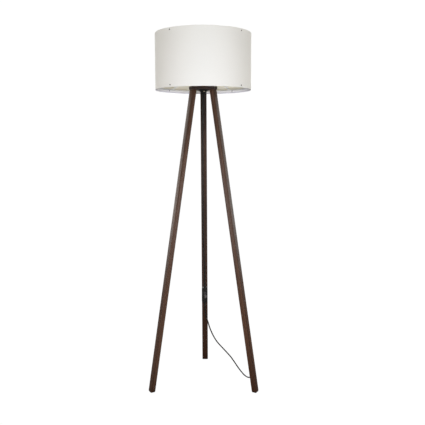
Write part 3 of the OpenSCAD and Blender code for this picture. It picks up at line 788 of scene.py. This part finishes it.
SZ0, SZ1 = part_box("screw_shell")
zs = list(np.linspace(SZ0.z + 0.0012, SZ1.z - 0.0008, 90))
prof = [(0.0001, SZ0.z, 0), (0.0138, SZ0.z, 0), (0.0144, SZ0.z + 0.0005, 0)] + [(0.0149, z, 1) for z in zs] + [(0.0149, SZ1.z, 0), (0.0143, SZ1.z, 0)]
prof += [(0.0143, z, 1) for z in zs[::-1]] + [(0.0138, SZ0.z + 0.0006, 0), (0.0001, SZ0.z + 0.0005, 0)]
shell = lathe("holder_shell", prof, 72, mats=[M_BRASS], fn=thread(0.0149, 0.00045, SZ0.z + 0.002, SZ1.z - 0.0008, 0.00362, 0.9))
place(shell, "stand", "screw_shell")

# ---------------------------------------------------------------- bulb
G0, G1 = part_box("bulb_globe")
gz = G0.z + 0.001
cz = gz + 0.052
prof = [(0.0001, G0.z), (0.0134, G0.z), (0.0137, gz + 0.0004), (0.0144, gz + 0.003), (0.0148, gz + 0.007), (0.0158, gz + 0.012), (0.0175, gz + 0.017), (0.0198, gz + 0.0225), (0.0223, gz + 0.0275), (0.0248, gz + 0.0325)]
for k in range(1, 33):
    a = math.radians(-28 + 118 * k / 32)
    prof.append((max(0.0001, 0.030 * math.cos(a)), cz + 0.030 * math.sin(a)))
globe = lathe("globe", prof, 96, closed=False, mats=[M_OPAL], angle=60)
place(globe, "bulb", "bulb_globe")
C0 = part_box("bulb_cap")[0].z
cap_z = C0 + 0.0009
zs = list(np.linspace(cap_z + 0.0030, cap_z + 0.0225, 84))
prof = [(0.0001, cap_z + 0.002), (0.0124, cap_z + 0.002), (0.0129, cap_z + 0.0026)]
prof = [(*p, 0) for p in prof] + [(0.0133, z, 1) for z in zs] + [(0.0133, cap_z + 0.0245, 0), (0.0130, cap_z + 0.0248, 0), (0.0001, cap_z + 0.0248, 0)]
capm = lathe("cap_shell", prof, 72, mats=[M_CAP], fn=thread(0.0133, 0.0007, cap_z + 0.0035, cap_z + 0.0222, 0.00362, 0.9))
prof = fillet([(0.0001, C0), (0.0030, C0), (0.0046, C0 + 0.0006), (0.0046, C0 + 0.00095), (0.0001, C0 + 0.00095)], [0, 0.0008, 0.0004, 0, 0], 3)
tip = lathe("cap_tip", prof, 48, mats=[M_CAP])
place(join("cap_metal", [capm, tip]), "bulb", "bulb_cap")


# ---------------------------------------------------------------- shade
def drum(name, seam_at):
    """The rolled sheet, its ends meeting in a fine butt joint, printed face out and lining in."""
    r0, r1 = SHADE_R - 0.0011, SHADE_R
    e = 0.00018
    outer = [(r1 - e, SHADE_Z0), (r1, SHADE_Z0 + e)] + [(r1, SHADE_Z0 + (SHADE_Z1 - SHADE_Z0) * k / 12) for k in range(1, 12)] + [(r1, SHADE_Z1 - e), (r1 - e, SHADE_Z1)]
    inner = [(r0 + e, SHADE_Z1), (r0, SHADE_Z1 - e)] + [(r0, SHADE_Z1 - (SHADE_Z1 - SHADE_Z0) * k / 12) for k in range(1, 12)] + [(r0, SHADE_Z0 + 0.008), (r0, SHADE_Z0 + e), (r0 + e, SHADE_Z0)]
    prof = outer + inner
    n_out = len(outer)
    gap = 0.00035 / r1
    # the lowest 8 mm inside take the hem colour, darkened as painted shade
    hem = len(prof) - 3
    return lathe(name, prof, 288, mats=[M_SHEET, M_LINING, M_HEM_PAINTED_SHADE], angle=30, a0=seam_at + gap / 2, sweep=2 * PI - gap,
                 mat_of=lambda i: 0 if i < n_out else (1 if i < hem else 2))


SEAM = PI / 2 + SPIDER_TURN
place(drum("drum_sheet", SEAM), "shade", "shade_drum")

RING_R = SHADE_R - 0.0013
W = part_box("shade_bottom_ring")
WZ = W[1].z - 0.0015
IN_R = RING_R - 0.021
prof = [(IN_R, WZ), (RING_R - 0.0015, WZ), (RING_R - 0.0015, WZ - 0.006), (RING_R, WZ - 0.006), (RING_R, WZ + 0.0015), (IN_R, WZ + 0.0015)]
ring_lo = lathe("ring_lower", fillet(prof, [0.0006, 0.0012, 0.0005, 0.0005, 0.0012, 0.0006], 4), 288, mats=[M_COAT])
place(ring_lo, "shade", "shade_bottom_ring")

T0, T1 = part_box("shade_top_ring")
prof = [(RING_R - 0.014, T0.z), (RING_R, T0.z), (RING_R, T1.z), (RING_R - 0.0015, T1.z), (RING_R - 0.0015, T0.z + 0.0015), (RING_R - 0.014, T0.z + 0.0015)]
ring_hi = lathe("ring_upper", fillet(prof, [0.0006, 0.0012, 0.0005, 0.0005, 0.0012, 0.0006], 4), 288, mats=[M_COAT])
place(ring_hi, "shade", "shade_top_ring")

SP0, SP1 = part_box("shade_spider")
sz = SP1.z - 0.0025
lap = WZ + 0.0015
arms = []
top_line = [(0.026, sz + 0.0025), (0.073, sz + 0.0025), (IN_R - 0.001, lap + 0.0025), (IN_R + 0.012, lap + 0.0025)]
bot_line = [(0.026, sz), (0.072, sz), (IN_R - 0.002, lap), (IN_R + 0.012, lap)]
top_line = fillet(top_line, 0.012, 6, closed=False)
bot_line = fillet(bot_line, 0.012, 6, closed=False)
for k, a in enumerate(ARMS):
    rings = []
    for (ru, zu), (rl, zl) in zip(top_line, bot_line):
        h = 0.003
        sec = [(-h, 0), (h, 0), (h, 1), (-h, 1)]
        e = 0.0006
        pts = [(-h + e, 0.0), (h - e, 0.0), (h, 0.25), (h, 0.75), (h - e, 1.0), (-h + e, 1.0), (-h, 0.75), (-h, 0.25)]
        ring = []
        for w, s in pts:
            r, z = rl + (ru - rl) * s, zl + (zu - zl) * s
            ring.append((AX + r * math.cos(a) - w * math.sin(a), AY + r * math.sin(a) + w * math.cos(a), z))
        rings.append(ring)
    arms.append(loft("arm", rings, [M_COAT], 40))
prof = fillet([(0.0200, sz), (0.0275, sz), (0.0275, sz + 0.0025), (0.0200, sz + 0.0025)], 0.0005, 3)
arms.append(lathe("c_ring", prof, 96, mats=[M_COAT]))
place(join("spider_arms", arms, 40), "shade", "shade_spider")


def rivets(name, z, node):
    parts = []
    for a in ARMS:
        prof = [(0.0001, 0.00135), (0.0009, 0.00132), (0.0017, 0.0011), (0.0023, 0.0006), (0.0025, 0.0001), (0.0025, 0.0), (0.0012, 0.0),
                (0.0012, -0.0030), (0.0021, -0.0031), (0.0021, -0.0039), (0.0014, -0.0042), (0.0001, -0.0042)]
        o = lathe("r", prof, 36, closed=False, mats=[M_RIVET], x=0, y=0, angle=50)
        m4 = Matrix.Translation((AX + SHADE_R * math.cos(a), AY + SHADE_R * math.sin(a), z)) @ Matrix.Rotation(a, 4, "Z") @ Matrix.Rotation(PI / 2, 4, "Y")
        o.data.transform(m4)
        parts.append(o)
    return place(join(name, parts, 50), "shade", node)


b0, b1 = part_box("shade_rivets_bottom")
rivets("rivets_lower", (b0.z + b1.z) / 2, "shade_rivets_bottom")
b0, b1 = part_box("shade_rivets_top")
rivets("rivets_upper", (b0.z + b1.z) / 2, "shade_rivets_top")

# ---------------------------------------------------------------- in-line switch
SW = Matrix.Translation((AX + 0.0035, AY, 0.3685)) @ Matrix.Rotation(math.radians(22), 4, "Z")
SW_W, SW_L, SW_T = 0.021, 0.066, 0.016


def sw_ring(inset, y):
    return [(p[0], y, p[1]) for p in rrect(SW_W - 2 * inset, SW_L - 2 * inset, max(0.0008, 0.006 - inset), 8)]


def half(name, sign, node):
    t = SW_T / 2
    rr = 0.0024
    rings = [sw_ring(0.0003, sign * 0.00008), sw_ring(0.0003, sign * 0.0003), sw_ring(0.0, sign * 0.0006), sw_ring(0.0, sign * (t - rr))]
    for k in range(1, 9):
        a = k / 8 * PI / 2
        rings.append(sw_ring(rr * (1 - math.cos(a)), sign * (t - rr + rr * math.sin(a))))
    outer = loft(name, rings, [M_BLACK], 40, SW)
    inner = loft("c", [sw_ring(0.0020, -sign * 0.001), sw_ring(0.0020, sign * (t - 0.002))], None, 40, SW)
    cutters = [inner]
    for s in (-1, 1):
        m4 = SW @ Matrix.Translation((0, 0, s * SW_L / 2))
        c = lathe("c", [(0, -0.006), (0.0033, -0.006), (0.0033, 0.006), (0, 0.006)], 32, x=0, y=0)
        c.data.transform(m4)
        cutters.append(c)
    if sign < 0:
        w = prism("c", rrect(0.0127, 0.031, 0.0012, 4), -0.02, 0.0, matrix=SW @ Matrix.Rotation(-PI / 2, 4, "X") @ Matrix.Translation((0, 0, -0.0)))
        cutters.append(w)
    else:
        for s in (-1, 1):
            c = lathe("c", [(0, -0.0012), (0.0021, -0.0012), (0.0021, 0.003), (0, 0.003)], 28, x=0, y=0)
            c.data.transform(SW @ Matrix.Translation((s * 0.0052, t, s * 0.024)) @ Matrix.Rotation(-PI / 2, 4, "X"))
            cutters.append(c)
    cut(outer, *cutters, angle=40)
    return place(outer, "stand", node)


half("switch_front", -1, "switch_cover_front")
half("switch_back", 1, "switch_cover_back")

# rocker: a shallow dished button, tipped to its first position
front = []
for k in range(0, 25):
    z = -14.8 + 29.6 * k / 24
    u = abs(z) / 14.8
    y = -(2.75 + 1.75 * min(1.0, (u / 0.86)) ** 1.7)
    if u > 0.86:
        y = -(4.5 - 1.9 * ((u - 0.86) / 0.14) ** 2)
    front.append((y, z))
outline = front + [(0.5, 14.2), (2.0, 10), (2.2, 4), (2.2, -4), (2.0, -10), (0.5, -14.2)]
outline = [(y * MM, z * MM) for y, z in outline]
RK = SW @ Matrix.Translation((0, -0.006, 0)) @ Matrix.Rotation(math.radians(-7), 4, "X")
# the prism's own axes (x, y, z) are the switch's (y, z, x)
axes = Matrix(((0, 0, 1, 0), (1, 0, 0, 0), (0, 1, 0, 0), (0, 0, 0, 1)))
rocker = prism("rocker_button", outline, -0.006, 0.006, 0.0006, 3, [M_ROCKER_PAINTED_SHEEN], 40, RK @ axes)
place(rocker, "rocker", "switch_rocker")

boots = []
for s in (1, -1):
    prof = [(0.0024, 0.0), (0.0043, 0.0)]
    n = 5
    for k in range(n):
        za, zb = 0.0006 + 0.0158 * k / n, 0.0006 + 0.0158 * (k + 1) / n
        ra = 0.0043 - 0.0011 * (k / n) ** 0.8
        prof += [(ra, za), (ra - 0.00015, za + (zb - za) * 0.62), (ra - 0.0007, za + (zb - za) * 0.7), (ra - 0.0007, za + (zb - za) * 0.93)]
    prof += [(0.0031, 0.0168), (0.0029, 0.018), (0.0024, 0.018)]
    o = lathe("b", fillet(prof, 0.00015, 2), 40, mats=[M_SOFT], x=0, y=0)
    o.data.transform(SW @ Matrix.Translation((0, 0, s * SW_L / 2)) @ (Matrix.Identity(4) if s > 0 else Matrix.Rotation(PI, 4, "X")))
    boots.append(o)
boots = place(join("switch_sleeves", boots), "stand", "switch_boots")

# ---------------------------------------------------------------- hank tie and plug
TIE_X = 0.209
tie_w, tie_h = 0.0172, 0.0117
path = fillet([(-tie_w / 2, 0.0004), (tie_w / 2, 0.0004), (tie_w / 2, tie_h), (-tie_w / 2, tie_h)], [0.0012, 0.0012, 0.0024, 0.0024], 8)
npt = len(path)
verts, faces = [], []
for j, yy in enumerate((-0.005, -0.0047, 0.0047, 0.005)):
    th = 0.0009 if j in (1, 2) else 0.0005
    for i, (x, z) in enumerate(path):
        px, pz = path[(i - 1) % npt], path[(i + 1) % npt]
        tx, tz = pz[0] - px[0], pz[1] - px[1]
        ln = math.hypot(tx, tz) or 1.0
        nx, nz = tz / ln, -tx / ln
        for side in (-0.5, 0.5):
            verts.append((AX + TIE_X + x + nx * th * side, AY + HANK_MID * MM + yy, max(0.0, z + nz * th * side)))
for i in range(npt):
    i2 = (i + 1) % npt
    for j in range(3):
        for side in (0, 1):
            a, b = (j * npt + i) * 2 + side, (j * npt + i2) * 2 + side
            c, d = ((j + 1) * npt + i2) * 2 + side, ((j + 1) * npt + i) * 2 + side
            faces.append([a, b, c, d])
    for j in (0, 3):
        a, b = (j * npt + i) * 2, (j * npt + i2) * 2
        faces.append([a, b, b + 1, a + 1])
strap = obj_from("tie_band", verts, faces, 40, [M_STRAP])
tab = prism("tab", rrect(0.0105, 0.0094, 0.002, 5), 0.0, 0.0008, 0.0003, 2, [M_STRAP],
            matrix=Matrix.Translation((AX + TIE_X - 0.001, AY + HANK_MID * MM, tie_h + 0.0003)))
place(join("tie_strap", [strap, tab], 40), "stand", "hank_tie")

# the plug lies on its edge, its pins one above the other
PL = Matrix.Translation((AX + 0.209, AY + 0.165, 0.0175)) @ Matrix.Rotation(-PI / 2, 4, "X") @ Matrix.Rotation(PI / 2, 4, "Z")
prof = [(0.0024, 0.0), (0.0031, 0.0)]
n = 6
for k in range(n):
    za, zb = 0.001 + 0.0235 * k / n, 0.001 + 0.0235 * (k + 1) / n
    ra = 0.0033 + 0.0015 * (k / n)
    prof += [(ra - 0.0008, za), (ra - 0.0008, za + (zb - za) * 0.2), (ra, za + (zb - za) * 0.3), (ra + 0.0002, za + (zb - za) * 0.93)]
prof += [(0.0048, 0.0249), (0.0024, 0.0249)]
pboot = lathe("plug_sleeve", fillet(prof, 0.00015, 2), 40, mats=[M_SOFT], x=0, y=0)
pboot.data.transform(PL)
place(pboot, "stand", "plug_boot")

outline = [(-8, 0), (8, 0), (17, 13), (17.5, 16), (17.5, 32), (16, 35), (-16, 35), (-17.5, 32), (-17.5, 16), (-17, 13)]
outline = fillet([(x * MM, y * MM + 0.025) for x, y in outline], [.003, .003, .004, .004, .001, .0012, .0012, .001, .004, .004], 5)
# the prism's own (x, y, z) are the plug's (x, z, y)
plug_axes = Matrix(((1, 0, 0, 0), (0, 0, 1, 0), (0, 1, 0, 0), (0, 0, 0, 1)))
plug = prism("plug_block", outline, -0.0066, 0.007, 0.0022, 5, [M_BLACK], 40, PL @ plug_axes)
cutters = []
for s in (-1, 1):
    for side in (-1, 1):
        for k in range(4):
            c = prism("c", rrect(0.0012, 0.006, 0.0005, 3), -0.001, 0.001,
                      matrix=PL @ Matrix.Translation((s * (0.0095 + 0.0021 * k), side * 0.0069, 0.046)) @ Matrix.Rotation(PI / 2, 4, "X"))
            cutters.append(c)
cut(plug, *cutters, angle=40)
place(plug, "stand", "plug_body")

pins = []
for s in (-1, 1):
    m4 = PL @ Matrix.Translation((s * 0.009, 0, 0.060))
    sl = lathe("p", fillet([(0.0001, -0.004), (0.0017, -0.004), (0.0017, 0.0095), (0.0001, 0.0095)], [0, 0, 0.0002, 0], 2), 32, mats=[M_BLACK], x=0, y=0)
    sl.data.transform(m4)
    mt = lathe("p", fillet([(0.0001, 0.0090), (0.0016, 0.0090), (0.0020, 0.0094), (0.0020, 0.0176), (0.0012, 0.019), (0.0001, 0.019)], [0, 0, .0002, .0012, .0008, 0], 4), 32, mats=[M_NICKEL], x=0, y=0)
    mt.data.transform(m4)
    pins += [sl, mt]
pins = place(join("plug_prongs", pins), "stand", "plug_pins")

# ---------------------------------------------------------------- CAD pieces that keep their shape
KEEP = {"leg_screws": M_ZINC, "gland_screw": M_NICKEL, "threaded_nipple": M_BRASS, "nipple_washer": M_ZINC, "nipple_nut": M_BRASS,
        "lampholder_core": M_CERAMIC, "centre_contact": M_BRASS, "holder_leads": M_LEAD, "shade_seam_strip": M_SHEET,
        "bulb_insulator": M_INSUL, "rocker_axle": M_ZINC, "switch_spring": M_BRASS, "switch_terminals": M_BRASS, "switch_screws": M_ZINC}
for name, m in KEEP.items():
    o = NODES[name]
    if not o.data.materials:
        o.data.materials.append(m)
    for i in range(len(o.material_slots)):
        o.material_slots[i].material = m

# ---------------------------------------------------------------- stage and light
# Studio light by direction: round the horizon from in front of the lamp to behind it, and overhead
FRONT, SIDE, REAR, OVER = (0.76, 0.68, 0.40), (0.0, 0.0, 0.0), (1.75, 1.79, 1.76), (0.0, 0.0, 0.0)
POOL = (1.45, 1.32, 1.22)
fm = Mat("floor_paper")
fm.set(Base_Color=(0.15, 0.15, 0.15), Roughness=0.9, Specular_IOR_Level=0.1)
lp = fm.t.nodes.new("ShaderNodeLightPath")
glow = fm.t.nodes.new("ShaderNodeEmission")
glow.inputs["Color"].default_value = (1, 1, 1, 1)
glow.inputs["Strength"].default_value = 1.02
pool = fm.t.nodes.new("ShaderNodeEmission")
pool.inputs["Strength"].default_value = 1.0
fd = fm.t.nodes.new("ShaderNodeVectorMath")
fd.operation = "DISTANCE"
fd.inputs[1].default_value = (0.0, -1.35, 0.0)
fm.link(fm.coords(), fd.inputs[0])
pool_ramp = fm.ramp(fm.math("DIVIDE", fd.outputs["Value"], 3.0, clamp=True), [(0.0, POOL), (0.42, (0, 0, 0))], "EASE")
fm.link(pool_ramp, pool.inputs["Color"])
both = fm.t.nodes.new("ShaderNodeAddShader")
fm.link(fm.b.outputs[0], both.inputs[0])
fm.link(pool.outputs[0], both.inputs[1])
mx = fm.t.nodes.new("ShaderNodeMixShader")
fm.link(lp.outputs["Is Camera Ray"], mx.inputs[0])
fm.link(both.outputs[0], mx.inputs[1])
fm.link(glow.outputs[0], mx.inputs[2])
fm.link(mx.outputs[0], fm.out.inputs["Surface"])
me = bpy.data.meshes.new("floor")
me.from_pydata([(-14, -14, 0), (14, -14, 0), (14, 14, 0), (-14, 14, 0)], [], [(0, 1, 2, 3)])
floor = link("floor", me)
me.materials.append(fm.m)

world = bpy.data.worlds.new("studio")
bpy.context.scene.world = world
world.use_nodes = True
wt = world.node_tree
wt.nodes.clear()


def wnode(kind, **k):
    n = wt.nodes.new(kind)
    for a, v in k.items():
        setattr(n, a, v)
    return n


def wmath(op, a, b=None):
    n = wnode("ShaderNodeMath", operation=op)
    for sck, v in zip(n.inputs, (a, b)):
        if isinstance(v, bpy.types.NodeSocket):
            wt.links.new(v, sck)
        elif v is not None:
            sck.default_value = v
    return n.outputs[0]


def wramp(fac, stops):
    n = wnode("ShaderNodeValToRGB")
    n.color_ramp.interpolation = "EASE"
    e = n.color_ramp.elements
    while len(e) > 1:
        e.remove(e[-1])
    e[0].position = stops[0][0]
    for q, _ in stops[1:]:
        e.new(q)
    for el, (q, c) in zip(sorted(e, key=lambda v: v.position), stops):
        el.color = (*c, 1.0)
    wt.links.new(fac, n.inputs["Fac"])
    return n


wc = wnode("ShaderNodeTexCoord")
wx = wnode("ShaderNodeSeparateXYZ")
wt.links.new(wc.outputs["Generated"], wx.inputs[0])
turn = wmath("DIVIDE", wmath("ABSOLUTE", wmath("ARCTAN2", wx.outputs[0], wmath("MULTIPLY", wx.outputs[1], -1.0))), PI)
ring = wramp(turn, [(0.18, FRONT), (0.30, SIDE), (0.55, SIDE), (0.67, REAR)])
over = wramp(wx.outputs[2], [(0.70, (0, 0, 0)), (0.90, (1, 1, 1))])
mixc = wnode("ShaderNodeMix", data_type="RGBA")
wt.links.new(over.outputs[0], mixc.inputs[0])
wt.links.new(ring.outputs[0], mixc.inputs[6])
mixc.inputs[7].default_value = (*OVER, 1.0)
wo = wnode("ShaderNodeOutputWorld")
seen = wnode("ShaderNodeBackground")
seen.inputs["Color"].default_value = (1, 1, 1, 1)
seen.inputs["Strength"].default_value = 1.02
lit = wnode("ShaderNodeBackground")
wt.links.new(mixc.outputs[2], lit.inputs["Color"])
lit.inputs["Strength"].default_value = 1.0
wl = wnode("ShaderNodeLightPath")
wm = wnode("ShaderNodeMixShader")
wt.links.new(wl.outputs["Is Camera Ray"], wm.inputs[0])
wt.links.new(lit.outputs[0], wm.inputs[1])
wt.links.new(seen.outputs[0], wm.inputs[2])
wt.links.new(wm.outputs[0], wo.inputs["Surface"])


def area(name, loc, target, size, power, color=(1, 1, 1), glossy=True, diffuse=True):
    d = bpy.data.lights.new(name, "AREA")
    d.shape = "RECTANGLE"
    d.size, d.size_y = size
    d.energy = power
    d.color = color
    o = bpy.data.objects.new(name, d)
    bpy.context.scene.collection.objects.link(o)
    o.location = loc
    v = Vector(target) - Vector(loc)
    o.rotation_euler = v.to_track_quat("-Z", "Y").to_euler()
    o.visible_camera = False
    o.visible_glossy = glossy
    o.visible_diffuse = diffuse
    return o


area("key", (0.12, -1.55, 0.85), (0, 0, 1.0), (0.7, 0.7), 17.6, (0.83, 0.87, 1.0), glossy=False)
area("left_panel", (-1.3, -0.25, 0.85), (0, 0, 1.0), (0.5, 0.9), 4.4, (1.0, 0.91, 0.86), glossy=False)
area("right_panel", (1.3, -0.25, 0.85), (0, 0, 1.0), (0.5, 0.9), 3.7, (1.0, 0.88, 0.75), glossy=False)
for side, tag in ((-1, "left"), (1, "right")):
    area("rear_strip_" + tag, (side * 1.15, 0.55, 0.72), (side * 0.15, -0.09, 0.72), (0.5, 0.45), 1.4, diffuse=False)
    area("front_strip_" + tag, (side * 1.0, -0.75, 0.60), (side * -0.15, -0.09, 0.66), (0.5, 0.45), 6.6, (1.0, 0.90, 0.89), diffuse=False)

sc = bpy.context.scene
sc.view_settings.view_transform = "Standard"
sc.view_settings.look = "None"
sc.view_settings.exposure = 0.0
sc.view_settings.gamma = 1.0
